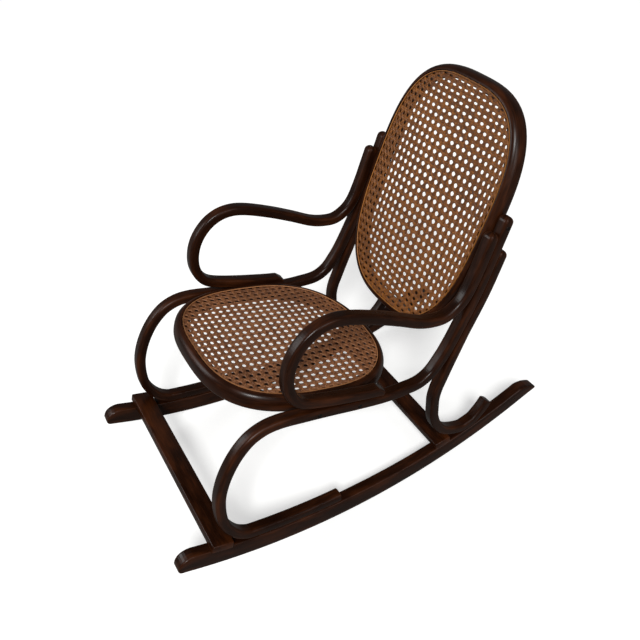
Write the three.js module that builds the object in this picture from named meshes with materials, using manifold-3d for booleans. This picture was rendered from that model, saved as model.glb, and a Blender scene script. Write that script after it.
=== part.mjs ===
import * as THREE from "three";
import { mergeGeometries, mergeVertices } from "three/addons/utils/BufferGeometryUtils.js";
import Module from "manifold-3d";

// Bentwood rocking chair with caned seat and back. Lengths in millimetres, angles in degrees.
// It is drawn with X across, Y to the rear and Z up, near its rest, and then rocked into balance.
// The drawing's origin is below the seat, where the arcs of both rockers are lowest.
// Each side frame is drawn in a plane of its own, from the lowest point of its rocker's arc.

// Side frames
const frameSpacing = 339.6; // between the lowest points of the two rocker arcs
const hoopReach = 240; // of the box in which the bent rods are drawn, ahead of the arc's lowest point
const sideLength = 520; // of the same box
const sideHeight = 520; // of the same box
const rodWidth = 20; // of a bent rod, across the chair
const rodDepth = 16.8; // of a bent rod, in the plane of its frame
const rodChamfer = 4.5; // along the edges of a bent rod
const rodEndFlat = 0.6; // cut off the half round end of a rod

// Rockers and stretchers
const rockerRadius = 938; // of the lower edge
const rockerWidth = 21;
const rockerDepth = 33.5; // where it is deepest
const rockerChamfer = 3.4;
const rockerNoseRadius = 8; // of the lower front corner
const rockerBrowRadius = 24; // of the upper front corner
const rockerTipLength = 31; // of the bevel that ends a rocker at the rear
const frontStretcherOverhang = 4; // beyond the outer face of the rocker
const frontStretcherWidth = 35;
const rearStretcherOverhang = 0.5; // beyond the outer face of the rocker
const rearStretcherWidth = 31;
const stretcherThickness = 13.5;
const stretcherChamfer = 1.6;
const hoopFootHeight = 60; // in which the front hoop comes down to the rocker
const rearCurlHeight = 110; // in which the rear leg comes down to the rocker

// Arm rods and rear legs
const armTaperLength = 14; // of the foot that ends on the seat rail
const armFootDepth = 9; // at the end of that foot

// Seat ring and net
const seatSetBack = 16; // widest place of the seat ahead of the drawing's origin
const seatRise = 20.9; // top of the ring above the middle line of the seat rail
const seatFrontLength = 177; // widest place to the front
const seatRearLength = 152; // widest place to the rear
const seatRimWidth = 11; // wood outside the net
const seatFit = 0.5; // between the seat ring and the frame rods
const seatRingHeight = 28;

// Back ring and net
const backTopLength = 194; // widest place to the top
const backBottomLength = 212; // widest place to the bottom
const backRimWidth = 10.4;
const backRingHeight = 28;
const backDrop = 23.3; // widest place below the back bolt
const backInset = 14.9; // back bolt behind the front of the ring

// Nets
const ringLedgeWidth = 9.4; // on which the net rests
const ringChamfer = 3;
const ringShoulderWidth = 9.6; // of the rounded edge beside the net
const ringShoulderDepth = 16;
const netThickness = 2;
const netPitch = 20.4; // of the modelled gaps
const netStrand = 8.4; // between two gaps
const netMargin = 3; // from the ledge to the nearest gap
const binderWidth = 5;
const binderThickness = 1.4;

// Bolts
const boltRadius = 2.4;
const boltClearance = 0.3; // around a bolt in its hole
const boltHeadRadius = 6;
const boltHeadHeight = 2.6;
const boltGrip = 9; // length of a bolt in a ring
const boltTipRoom = 0.8; // of a hole beyond its bolt
const backBoltDrop = 16; // below the top of the frame rod
const seatBoltAhead = 44; // of the seat's widest place
const seatBoltBehind = 26; // the seat's widest place

// Fit and finish of the curves
const gap = 0.3; // between pieces that touch
const chordError = 0.1; // of a bent line drawn in straight steps
const woodDensity = 0.7; // in grams for a cubic centimetre
const caneDensity = 0.7;
const steelDensity = 7.85;

// Angles
const frameToe = 0.92; // by which each side frame turns inwards to the rear
const frameLean = 0.75; // by which each side frame leans inwards to the top
const noseAngle = -19.2; // of the front of the rocker, from the lowest point of its arc
const tipAngle = 25.16; // of the rear end of the rocker
const seatTilt = 13; // of the seat ring, down to the rear
const backLean = 20.9; // of the back ring, from the upright
const stepAngle = 1.4; // between two stations along the rocker
const ringStations = 64;
const boltSides = 12;
const splineSteps = 24; // between two drawn points

// Exponents of the ring outlines, over 2 squarer than an ellipse: rear or top, then front or bottom
const seatPowers = [2.35, 2.75];
const backPowers = [2.95, 2.77];

// Depth of the rocker: share of its angle, share of its full depth
const rockerDepthShares = [[0, 0.95], [0.45, 1], [0.66, 0.91], [0.78, 0.86], [1, 0.8]];
// Bevelled tip of the rocker: share of the bevel's length from the end, share of the depth
const rockerTipShares = [[0, 0.12], [0.22, 0.42], [0.48, 0.71], [0.74, 0.89], [1, 1]];
// Middle line of the frame rod from its top to the front of the hoop: shares of the side box
const frameRodShares = [
  [0.966, 0.939], [0.931, 0.836], [0.888, 0.714], [0.849, 0.628], [0.802, 0.534], [0.777, 0.495],
  [0.745, 0.457], [0.704, 0.437], [0.639, 0.437], [0.577, 0.443], [0.483, 0.463], [0.391, 0.486],
  [0.301, 0.507], [0.228, 0.522], [0.182, 0.522], [0.139, 0.507], [0.105, 0.479], [0.076, 0.442],
  [0.048, 0.389], [0.031, 0.336], [0.026, 0.301], [0.025, 0.26],
];
// Hoop down to the rocker: share of the rocker's angle, share of the foot's height
const hoopFootShares = [[0.098, 0.839], [0.115, 0.484], [0.136, 0.268]];
// Run of the frame rod on the rocker: first and last share of the rocker's angle
const hoopRunShares = [0.164, 0.404];
// Arm rod against the post: first and last share of the frame rod's length
const armPostShares = [0.027, 0.084];
// Middle line of the arm: shares of the side box
const armShares = [
  [0.845, 0.71], [0.816, 0.68], [0.776, 0.662], [0.733, 0.665], [0.687, 0.679], [0.607, 0.721],
  [0.525, 0.761], [0.443, 0.794], [0.401, 0.803], [0.361, 0.8], [0.323, 0.783], [0.292, 0.754],
  [0.27, 0.718], [0.258, 0.676], [0.257, 0.634], [0.271, 0.592], [0.301, 0.56],
];
// Foot of the arm rod on the seat rail: first and last share of the frame rod's length
const armFootShares = [0.403, 0.373];
// Rear leg against the post: first and last share of the frame rod's length
const legPostShares = [0.054, 0.193];
// Middle line of the rear leg: shares of the side box
const legShares = [[0.81, 0.454], [0.794, 0.412], [0.78, 0.375], [0.773, 0.337]];
// Curl of the rear leg: share of the rocker's angle, share of the curl's height
const legCurlShares = [[0.697, 0.983], [0.693, 0.771], [0.699, 0.545], [0.715, 0.34], [0.741, 0.19]];
// Rear leg on the rocker: first and last share of the rocker's angle
const legRunShares = [0.773, 0.807];
// Lifted end of the rear leg: share of the rocker's angle, share of the curl's height
const legEndShares = [[0.836, 0.169], [0.861, 0.281]];
// Stretchers on the rockers: shares of the rocker's angle
const frontStretcherShare = 0.0925;
const rearStretcherShare = 0.706;
// Stations of a rounded rod end: shares of its radius
const roundEndShares = [0, 0.12, 0.35, 0.68, 1];
// Rounded edge of a ring: shares of its width and of its depth
const shoulderShares = [[0, 0], [0.38, 0.08], [0.71, 0.29], [0.92, 0.62], [1, 1]];

const wasm = await Module();
wasm.setup();

const across = new THREE.Vector3(1, 0, 0);

// Value at a place in a table of places and values
function lookUp(table, place) {
  const next = table.findIndex(([at]) => at >= place);
  if (next < 0) return table[table.length - 1][1];
  if (next === 0) return table[0][1];
  const [a, low] = table[next - 1];
  const [b, high] = table[next];
  return THREE.MathUtils.mapLinear(place, a, b, low, high);
}

// Depth of the rocker at a share of its angle
function rockerDepthAt(share) {
  return lookUp(rockerDepthShares, share) * rockerDepth;
}

// Angle from the lowest point of the arc at a share of the rocker's angle
function arcAngle(share) {
  return THREE.MathUtils.degToRad(THREE.MathUtils.lerp(noseAngle, tipAngle, share));
}

// Point at a radius from the arc centre and a share of the rocker's angle
function onArc(share, radius) {
  const turn = arcAngle(share);
  return new THREE.Vector3(0, radius * Math.sin(turn), rockerRadius - radius * Math.cos(turn));
}

// Point at a height above the top of the rocker
function overRocker(share, height) {
  return onArc(share, rockerRadius - rockerDepthAt(share) - height);
}

// Points of the side box from their shares
function inSideBox(shares) {
  return shares.map(([y, z]) => new THREE.Vector3(0, y * sideLength - hoopReach, z * sideHeight));
}

// Points over the rocker from their shares of its angle and of a height
function overRockerAll(shares, height) {
  return shares.map(([share, lift]) => overRocker(share, lift * height));
}

// Middle line of a rod that lies on the rocker between two shares of its angle
function runOnRocker([first, last]) {
  const steps = Math.ceil(((last - first) * (tipAngle - noseAngle)) / stepAngle);
  const line = [];
  for (let i = 0; i <= steps; i++) {
    line.push(overRocker(THREE.MathUtils.lerp(first, last, i / steps), gap + rodDepth / 2));
  }
  return line;
}

// Line with as few points as the chord error allows
function thinned(line) {
  const kept = [line[0]];
  let from = 0;
  for (let i = 2; i < line.length; i++) {
    const chord = new THREE.Line3(line[from], line[i]);
    const bulges = line.slice(from + 1, i).some((p) => {
      return chord.closestPointToPoint(p, true, new THREE.Vector3()).distanceTo(p) > chordError;
    });
    if (bulges) {
      from = i - 1;
      kept.push(line[from]);
    }
  }
  kept.push(line[line.length - 1]);
  return kept;
}

// Smooth line from the end of one line through the points to the start of another
function bridge(before, points, after) {
  const through = [...before.slice(-2), ...points, ...after.slice(0, 2)];
  const curve = new THREE.CatmullRomCurve3(through, false, "centripetal");
  const fine = curve.getPoints(splineSteps * (through.length - 1));
  const first = before.length > 1 ? splineSteps : 0;
  const last = after.length > 1 ? fine.length - splineSteps : fine.length;
  return thinned(fine.slice(first, last));
}

// Lengths along a line up to each of its points
function lengthsOf(line) {
  const lengths = [0];
  for (let i = 1; i < line.length; i++) {
    lengths.push(lengths[i - 1] + line[i].distanceTo(line[i - 1]));
  }
  return lengths;
}

// Point of a line at a length
function pointAt(line, lengths, length) {
  const next = Math.max(1, lengths.findIndex((l) => l >= length));
  const share = (length - lengths[next - 1]) / (lengths[next] - lengths[next - 1]);
  return line[next - 1].clone().lerp(line[next], share);
}

// Part of a line between two shares of its length
function partOf(line, [first, last]) {
  const lengths = lengthsOf(line);
  const whole = lengths[lengths.length - 1];
  const low = Math.min(first, last) * whole;
  const high = Math.max(first, last) * whole;
  const inside = line.filter((p, i) => lengths[i] > low && lengths[i] < high);
  const part = [pointAt(line, lengths, low), ...inside, pointAt(line, lengths, high)];
  return first < last ? part : part.reverse();
}

// Direction of a line at each of its points
function directionsOf(line) {
  return line.map((p, i) => {
    const ahead = line[Math.min(i + 1, line.length - 1)].clone().sub(p).normalize();
    const behind = p.clone().sub(line[Math.max(i - 1, 0)]).normalize();
    return ahead.add(behind).normalize();
  });
}

// Line beside another, at a distance that may change from point to point
function beside(line, distanceAt) {
  const lengths = lengthsOf(line);
  const whole = lengths[lengths.length - 1];
  return directionsOf(line).map((t, i) => {
    return t.cross(across).multiplyScalar(distanceAt(whole - lengths[i])).add(line[i]);
  });
}

// Closed solid through sections of equal point counts, as a bar or as a ring
function loft(sections, ring) {
  const count = sections[0].length;
  const index = [];
  const rows = ring ? sections.length : sections.length - 1;
  for (let i = 0; i < rows; i++) {
    const a = i * count;
    const b = ((i + 1) % sections.length) * count;
    for (let j = 0; j < count; j++) {
      const k = (j + 1) % count;
      index.push(a + j, a + k, b + k, a + j, b + k, b + j);
    }
  }
  const last = (sections.length - 1) * count;
  for (let j = 1; j < count - 1 && !ring; j++) {
    index.push(0, j + 1, j, last, last + j, last + j + 1);
  }
  const geometry = new THREE.BufferGeometry().setFromPoints(sections.flat());
  geometry.setIndex(index);
  return geometry;
}

// Bevelled rectangle across a line, its middle at a point
function barSection(middle, direction, width, depth, chamfer) {
  const up = direction.clone().cross(across).normalize();
  const c = Math.min(chamfer, depth / 3);
  const w = width / 2;
  const d = depth / 2;
  const corners = [
    [w - c, -d], [w, c - d], [w, d - c], [w - c, d],
    [c - w, d], [-w, d - c], [-w, c - d], [c - w, -d],
  ];
  return corners.map(([x, n]) => {
    return middle.clone().addScaledVector(across, x).addScaledVector(up, n);
  });
}

// Depth of a rod at a distance from its half round end
function roundEndDepth(distance) {
  const radius = rodDepth / 2;
  const run = Math.max(0, radius - rodEndFlat - distance);
  return 2 * Math.sqrt(radius * radius - run * run);
}

// Bent rod on a middle line, its start rounded and its end by a depth at a distance from it
function bentRod(line, endDepth, endStations) {
  const lengths = lengthsOf(line);
  const whole = lengths[lengths.length - 1];
  const radius = rodDepth / 2;
  const starts = roundEndShares.map((share) => share * radius);
  const ends = endStations.map((share) => whole - share * radius);
  const room = endStations.length > 1 ? radius : 0;
  const middle = lengths.filter((l) => l > radius + gap && l < whole - room - gap);
  const places = [...starts, ...middle, ...ends.reverse()];
  const stations = places.map((place) => pointAt(line, lengths, place));
  const directions = directionsOf(stations);
  const sections = stations.map((p, i) => {
    const depth = Math.min(roundEndDepth(places[i]), endDepth(whole - places[i]));
    return barSection(p, directions[i], rodWidth, depth, rodChamfer);
  });
  return loft(sections, false);
}

// Depth of the arm rod at a distance from its thin foot
function armDepth(distance) {
  return THREE.MathUtils.lerp(armFootDepth, rodDepth, Math.min(1, distance / armTaperLength));
}

// Middle line of the frame rod: post, seat rail, hoop and run on the rocker
function frameRodLine() {
  const run = runOnRocker(hoopRunShares);
  const points = [...inSideBox(frameRodShares), ...overRockerAll(hoopFootShares, hoopFootHeight)];
  return [...bridge([], points, run), ...run.slice(1)];
}

// Middle line of the arm rod: against the post, along the arm, round and back to the seat rail
function armRodLine(frameLine) {
  const post = beside(partOf(frameLine, armPostShares), () => rodDepth + gap);
  const rail = partOf(frameLine, armFootShares);
  const foot = beside(rail, (left) => -(armDepth(left) + rodDepth) / 2 - gap);
  return [...post, ...bridge(post, inSideBox(armShares), foot).slice(1, -1), ...foot];
}

// Middle line of the rear leg: against the post, down and round onto the rocker
function rearLegLine(frameLine) {
  const post = beside(partOf(frameLine, legPostShares), () => -rodDepth - gap);
  const down = [...inSideBox(legShares), ...overRockerAll(legCurlShares, rearCurlHeight)];
  const run = runOnRocker(legRunShares);
  const end = bridge(run, overRockerAll(legEndShares, rearCurlHeight), []);
  return [...post, ...bridge(post, down, run).slice(1, -1), ...run, ...end.slice(1)];
}

// Height missing at a rounded corner of a radius, at a distance from the end
function cornerLoss(radius, distance) {
  const run = Math.max(0, radius - distance);
  return radius - Math.sqrt(radius * radius - run * run);
}

// Rocker: an arc with a rounded nose and a bevelled tip
function rocker() {
  const arc = (arcAngle(1) - arcAngle(0)) * rockerRadius;
  const noseEnd = rockerBrowRadius / arc;
  const tipStart = 1 - rockerTipLength / arc;
  const noseSteps = roundEndShares.map((share) => (share * rockerBrowRadius) / arc);
  const tipSteps = rockerTipShares.map(([share]) => 1 - (share * rockerTipLength) / arc);
  const steps = Math.ceil(((tipStart - noseEnd) * (tipAngle - noseAngle)) / stepAngle);
  const middle = [];
  for (let i = 1; i < steps; i++) {
    middle.push(THREE.MathUtils.lerp(noseEnd, tipStart, i / steps));
  }
  const sections = [...noseSteps, ...middle, ...tipSteps.reverse()].map((share) => {
    const fromNose = share * arc + rodEndFlat;
    const tipShare = ((1 - share) * arc) / rockerTipLength;
    const full = rockerDepthAt(share);
    const lost = full * (1 - lookUp(rockerTipShares, tipShare));
    const top = rockerRadius - full + lost + cornerLoss(rockerBrowRadius, fromNose);
    const bottom = rockerRadius - cornerLoss(rockerNoseRadius, fromNose);
    const turn = arcAngle(share);
    const ahead = new THREE.Vector3(0, Math.cos(turn), Math.sin(turn));
    const centre = onArc(share, (top + bottom) / 2);
    return barSection(centre, ahead, rockerWidth, bottom - top, rockerChamfer);
  });
  return loft(sections, false);
}

// Plane of a side frame: from the drawing of the frame to its place in the chair
function sideMatrix(sign) {
  const lean = new THREE.Matrix4().makeRotationY(-sign * THREE.MathUtils.degToRad(frameLean));
  const toe = new THREE.Matrix4().makeRotationZ(sign * THREE.MathUtils.degToRad(frameToe));
  return new THREE.Matrix4().makeTranslation((sign * frameSpacing) / 2, 0, 0).multiply(toe).multiply(lean);
}

// Distance of the right frame's middle plane from the chair's middle plane at a place
function halfSpacingAt(place) {
  const out = across.clone().transformDirection(sideMatrix(1));
  return frameSpacing / 2 - (out.y * place.y + out.z * place.z) / out.x;
}

// Bevelled rectangle in the plane of a side frame
function boardSection(x, middle, ahead, width, thickness, chamfer) {
  const up = across.clone().cross(ahead);
  const w = width / 2;
  const t = thickness / 2;
  const corners = [
    [w - chamfer, -t], [w, chamfer - t], [w, t - chamfer], [w - chamfer, t],
    [chamfer - w, t], [-w, t - chamfer], [-w, chamfer - t], [chamfer - w, -t],
  ];
  return corners.map(([along, height]) => {
    return middle.clone().setX(x).addScaledVector(ahead, along).addScaledVector(up, height);
  });
}

// Board with bevelled edges that lies across both rockers
function stretcher(overhang, width, share) {
  const arc = (arcAngle(1) - arcAngle(0)) * (rockerRadius - rockerDepth);
  const slope = Math.sin(THREE.MathUtils.degToRad(frameLean + frameToe));
  const lift = gap + (slope * rockerWidth) / 2 + stretcherThickness / 2;
  const front = overRocker(share - width / 2 / arc, lift).applyMatrix4(sideMatrix(1));
  const rear = overRocker(share + width / 2 / arc, lift).applyMatrix4(sideMatrix(1));
  const middle = front.clone().lerp(rear, 0.5);
  const ahead = rear.clone().sub(front).setX(0).normalize();
  const half = halfSpacingAt(middle) + rockerWidth / 2 + overhang;
  const c = stretcherChamfer;
  return loft([
    boardSection(-half, middle, ahead, width - 2 * c, stretcherThickness - 2 * c, c / 2),
    boardSection(c - half, middle, ahead, width, stretcherThickness, c),
    boardSection(half - c, middle, ahead, width, stretcherThickness, c),
    boardSection(half, middle, ahead, width - 2 * c, stretcherThickness - 2 * c, c / 2),
  ], false);
}

// Outline of a ring with a length and an exponent for each end, offset along its normals
function ringOutline(halfWidth, lengths, powers, offset) {
  const points = [];
  for (let i = 0; i < ringStations; i++) {
    const turn = (2 * Math.PI * i) / ringStations;
    const end = Math.sin(turn) > 0 ? 0 : 1;
    const power = powers[end];
    const x = Math.cos(turn) / halfWidth;
    const y = Math.sin(turn) / lengths[end];
    const size = (Math.abs(x) ** power + Math.abs(y) ** power) ** (-1 / power);
    const normal = new THREE.Vector3(
      (Math.sign(x) * Math.abs(x) ** (power - 1)) / halfWidth,
      (Math.sign(y) * Math.abs(y) ** (power - 1)) / lengths[end],
      0,
    ).normalize();
    const point = new THREE.Vector3(Math.cos(turn), Math.sin(turn), 0).multiplyScalar(size);
    points.push(point.addScaledVector(normal, offset));
  }
  return points;
}

// Ring with a profile given as distances outwards from an outline and heights
function profiledRing(outlineAt, profile) {
  const rows = profile.map(([out]) => outlineAt(out));
  const sections = rows[0].map((p, i) => {
    return profile.map(([, height], j) => rows[j][i].clone().setZ(height));
  });
  return loft(sections, true);
}

// Wooden ring with a ledge for the net and a rounded edge, its top at height zero
function woodRing(outlineAt, rimWidth, height) {
  const inner = -rimWidth - ringLedgeWidth;
  const ledge = -2 * gap - netThickness - binderThickness;
  const c = ringChamfer;
  return profiledRing(outlineAt, [
    [-c, -height], [inner + c, -height], [inner, c - height], [inner, ledge], [-rimWidth, ledge], [-rimWidth, 0],
    ...shoulderShares.map(([out, down]) => [(out - 1) * ringShoulderWidth, -down * ringShoulderDepth]), [0, c - height],
  ]);
}

// Strip that covers the edge of the net
function binder(outlineAt, rimWidth) {
  const outer = -rimWidth - gap;
  const inner = outer - binderWidth;
  return profiledRing(outlineAt, [
    [outer, -binderThickness], [inner, -binderThickness], [inner, 0], [outer, 0],
  ]);
}

// Places of the gaps of a net, all inside the ledge
function gapPlaces(rimWidth, halfWidth, lengths, powers) {
  const edge = rimWidth + ringLedgeWidth + netMargin;
  const half = (netPitch - netStrand) / 2;
  const isInside = (x, y) => {
    const end = y > 0 ? 0 : 1;
    const across = Math.abs(x / (halfWidth - edge));
    const along = Math.abs(y / (lengths[end] - edge));
    return across ** powers[end] + along ** powers[end] < 1;
  };
  const columns = Math.ceil(halfWidth / netPitch);
  const firstRow = -Math.ceil(lengths[1] / netPitch);
  const lastRow = Math.ceil(lengths[0] / netPitch);
  const places = [];
  for (let i = -columns; i <= columns; i++) {
    for (let j = firstRow; j <= lastRow; j++) {
      const x = i * netPitch;
      const y = j * netPitch;
      if ([-half, half].every((u) => isInside(x + u, y - half) && isInside(x + u, y + half))) {
        places.push([x, y]);
      }
    }
  }
  return places;
}

// Net of the woven cane, as a plate with square gaps
function net(outlineAt, rimWidth, halfWidth, lengths, powers) {
  const shape = new THREE.Shape(outlineAt(-rimWidth - gap).map((p) => new THREE.Vector2(p.x, p.y)));
  const plate = new THREE.ExtrudeGeometry(shape, { depth: netThickness, bevelEnabled: false });
  const side = netPitch - netStrand;
  const posts = gapPlaces(rimWidth, halfWidth, lengths, powers).map(([x, y]) => {
    return new THREE.BoxGeometry(side, side, 3 * netThickness).translate(x, y, netThickness / 2);
  });
  const geometry = drilled(plate, [mergeGeometries(posts)]);
  return geometry.translate(0, 0, -gap - netThickness - binderThickness);
}

// Domed bolt along X, its head outwards from a height of zero
function bolt(length) {
  const profile = [
    [0, -length], [boltRadius, -length], [boltRadius, 0], [boltHeadRadius, 0],
    [boltHeadRadius, boltHeadHeight / 3], [boltHeadRadius * 0.7, boltHeadHeight * 0.85], [0, boltHeadHeight],
  ];
  const points = profile.map(([radius, along]) => new THREE.Vector2(radius, along));
  return new THREE.LatheGeometry(points, boltSides).rotateZ(-Math.PI / 2);
}

// Round bar along X between two places
function crossBar(radius, from, to) {
  const bar = new THREE.CylinderGeometry(radius, radius, to - from, boltSides);
  return bar.rotateZ(-Math.PI / 2).translate((from + to) / 2, 0, 0);
}

// Closed solid of a geometry
function solidOf(geometry) {
  const bare = geometry.clone();
  bare.deleteAttribute("normal");
  bare.deleteAttribute("uv");
  const merged = mergeVertices(bare);
  const mesh = new wasm.Mesh({
    numProp: 3,
    vertProperties: merged.attributes.position.array,
    triVerts: new Uint32Array(merged.index.array),
  });
  return new wasm.Manifold(mesh);
}

// Geometry of a piece with holes cut by other geometries
function drilled(geometry, tools) {
  let solid = solidOf(geometry);
  for (const tool of tools) {
    solid = solid.subtract(solidOf(tool));
  }
  const mesh = solid.getMesh();
  const result = new THREE.BufferGeometry();
  result.setAttribute("position", new THREE.BufferAttribute(mesh.vertProperties, 3));
  result.setIndex(new THREE.BufferAttribute(mesh.triVerts, 1));
  return result;
}

// Dark stained and polished beech
function wood() {
  const material = new THREE.MeshStandardMaterial({ color: 0x2a1712, roughness: 0.32, metalness: 0 });
  material.userData.density = woodDensity;
  return material;
}

// Aged amber cane
function cane(color) {
  const material = new THREE.MeshStandardMaterial({ color, roughness: 0.6, metalness: 0 });
  material.userData.density = caneDensity;
  return material;
}

// Blackened steel
function steel() {
  const material = new THREE.MeshStandardMaterial({ color: 0x1c1614, roughness: 0.45, metalness: 1 });
  material.userData.density = steelDensity;
  return material;
}

const chair = new THREE.Group();

// Named piece of the chair
function add(name, geometry, material) {
  const mesh = new THREE.Mesh(geometry, material);
  mesh.name = name;
  chair.add(mesh);
}

// Side frames
const frameLine = frameRodLine();
const frameLengths = lengthsOf(frameLine);
const frameRod = bentRod(frameLine, roundEndDepth, roundEndShares);
const armRod = bentRod(armRodLine(frameLine), armDepth, [0]);
const rearLeg = bentRod(rearLegLine(frameLine), roundEndDepth, roundEndShares);
const rockerBar = rocker();

// Point on the middle line of the seat rail at a place along the chair
function railPoint(y) {
  const placed = frameLine.map((p) => p.clone().applyMatrix4(sideMatrix(1)));
  const rail = placed.filter((p) => p.z > sideHeight / 3);
  const next = rail.findIndex((p) => p.y < y);
  const share = (y - rail[next - 1].y) / (rail[next].y - rail[next - 1].y);
  return rail[next - 1].clone().lerp(rail[next], share);
}

// Places of the bolts in the side frame
const backBoltPlace = pointAt(frameLine, frameLengths, backBoltDrop).applyMatrix4(sideMatrix(1));
const seatBoltPlaces = [
  ["front", railPoint(-seatSetBack - seatBoltAhead)],
  ["rear", railPoint(-seatSetBack + seatBoltBehind)],
];

// Distance of a face of the right frame's rods from the chair's middle plane
const outerFaceAt = (place) => halfSpacingAt(place) + rodWidth / 2;
const innerFaceAt = (place) => halfSpacingAt(place) - rodWidth / 2;

// Seat
const seatMiddle = railPoint(-seatSetBack).add(new THREE.Vector3(0, 0, seatRise));
const seatHalfWidth = innerFaceAt(seatMiddle) - seatFit;
const seatLengths = [seatRearLength, seatFrontLength];
const seatOutline = (offset) => ringOutline(seatHalfWidth, seatLengths, seatPowers, offset);
const toSeat = new THREE.Matrix4().makeTranslation(0, seatMiddle.y, seatMiddle.z);
toSeat.multiply(new THREE.Matrix4().makeRotationX(-THREE.MathUtils.degToRad(seatTilt)));

// Back
const postTop = frameLine[0].clone().applyMatrix4(sideMatrix(1));
const backHalfWidth = innerFaceAt(postTop) - gap;
const backLengths = [backTopLength, backBottomLength];
const backOutline = (offset) => ringOutline(backHalfWidth, backLengths, backPowers, offset);
const lean = THREE.MathUtils.degToRad(backLean);
const upBack = new THREE.Vector3(0, Math.sin(lean), Math.cos(lean));
const outOfBack = new THREE.Vector3(0, -Math.cos(lean), Math.sin(lean));
const backMiddle = backBoltPlace.clone().setX(0);
backMiddle.addScaledVector(upBack, -backDrop).addScaledVector(outOfBack, backInset);
const toBack = new THREE.Matrix4().makeBasis(across, upBack, outOfBack).setPosition(backMiddle);

const hole = boltRadius + boltClearance;
const seatDrills = [];
const backDrills = [];

for (const [side, sign] of [["right", 1], ["left", -1]]) {
  const placed = (geometry) => geometry.clone().applyMatrix4(sideMatrix(sign));
  const drill = (place, end) => {
    const bar = crossBar(hole, end - boltTipRoom, outerFaceAt(place) + boltHeadHeight);
    return (sign > 0 ? bar : bar.rotateZ(Math.PI)).translate(0, place.y, place.z);
  };
  const screw = (place, end) => {
    const head = outerFaceAt(place) + gap;
    const pin = bolt(head - end).translate(head, 0, 0);
    return (sign > 0 ? pin : pin.rotateZ(Math.PI)).translate(0, place.y, place.z);
  };
  const backBoltEnd = backHalfWidth - boltGrip;
  const seatBoltEnd = seatHalfWidth - boltGrip;
  const backDrill = drill(backBoltPlace, backBoltEnd);
  const railDrills = seatBoltPlaces.map(([, place]) => drill(place, seatBoltEnd));
  backDrills.push(backDrill);
  seatDrills.push(...railDrills);
  add(`${side}_rocker`, placed(rockerBar), wood());
  add(`${side}_frame_rod`, drilled(placed(frameRod), [backDrill, ...railDrills]), wood());
  add(`${side}_arm_rod`, placed(armRod), wood());
  add(`${side}_rear_leg`, placed(rearLeg), wood());
  add(`${side}_back_bolt`, screw(backBoltPlace, backBoltEnd), steel());
  for (const [end, place] of seatBoltPlaces) {
    add(`${side}_${end}_seat_bolt`, screw(place, seatBoltEnd), steel());
  }
}

add("front_stretcher", stretcher(frontStretcherOverhang, frontStretcherWidth, frontStretcherShare), wood());
add("rear_stretcher", stretcher(rearStretcherOverhang, rearStretcherWidth, rearStretcherShare), wood());

const seatRing = woodRing(seatOutline, seatRimWidth, seatRingHeight).applyMatrix4(toSeat);
add("seat_ring", drilled(seatRing, seatDrills), wood());
const seatNet = net(seatOutline, seatRimWidth, seatHalfWidth, seatLengths, seatPowers);
add("seat_cane", seatNet.applyMatrix4(toSeat), cane(0xb08a66));
add("seat_binder", binder(seatOutline, seatRimWidth).applyMatrix4(toSeat), cane(0xb8946c));

const backRing = woodRing(backOutline, backRimWidth, backRingHeight).applyMatrix4(toBack);
add("back_ring", drilled(backRing, backDrills), wood());
const backNet = net(backOutline, backRimWidth, backHalfWidth, backLengths, backPowers);
add("back_cane", backNet.applyMatrix4(toBack), cane(0x9a6a3a));
add("back_binder", binder(backOutline, backRimWidth).applyMatrix4(toBack), cane(0xa87844));

// Centre of mass of the whole chair in the drawing
function centreOfMass(meshes) {
  const sum = new THREE.Vector3();
  let mass = 0;
  for (const mesh of meshes) {
    const g = mesh.geometry.index ? mesh.geometry.toNonIndexed() : mesh.geometry;
    const position = g.attributes.position;
    for (let i = 0; i < position.count; i += 3) {
      const [a, b, c] = [i, i + 1, i + 2].map((k) => new THREE.Vector3().fromBufferAttribute(position, k));
      const part = (mesh.material.userData.density * a.dot(b.clone().cross(c))) / 6;
      sum.addScaledVector(a.add(b).add(c), part / 4);
      mass += part;
    }
  }
  return sum.divideScalar(mass);
}

// The chair rocks until its centre of mass is below the centres of the rocker arcs
const centre = centreOfMass(chair.children);
const arcCentre = new THREE.Vector3(0, 0, rockerRadius).applyMatrix4(sideMatrix(1));
const restTurn = Math.atan2(centre.y - arcCentre.y, arcCentre.z - centre.z);
chair.rotation.x = -restTurn;
chair.updateMatrixWorld(true);
const box = new THREE.Box3().setFromObject(chair, true);
chair.position.set(0, -(box.min.y + box.max.y) / 2, -box.min.z);

export default chair;
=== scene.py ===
# %% [markdown]
# # Bentwood rocking chair with a woven cane seat and back
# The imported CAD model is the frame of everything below. Its solids are faceted and plain, so each of them is
# replaced here by a finer piece in the same place, and the chair then gets its wood, cane and screws.
# Loading comes first, because every later piece is set against the loaded nodes.

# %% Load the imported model
import math
import random

import bmesh
import bpy
from mathutils import Matrix, Vector


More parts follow.
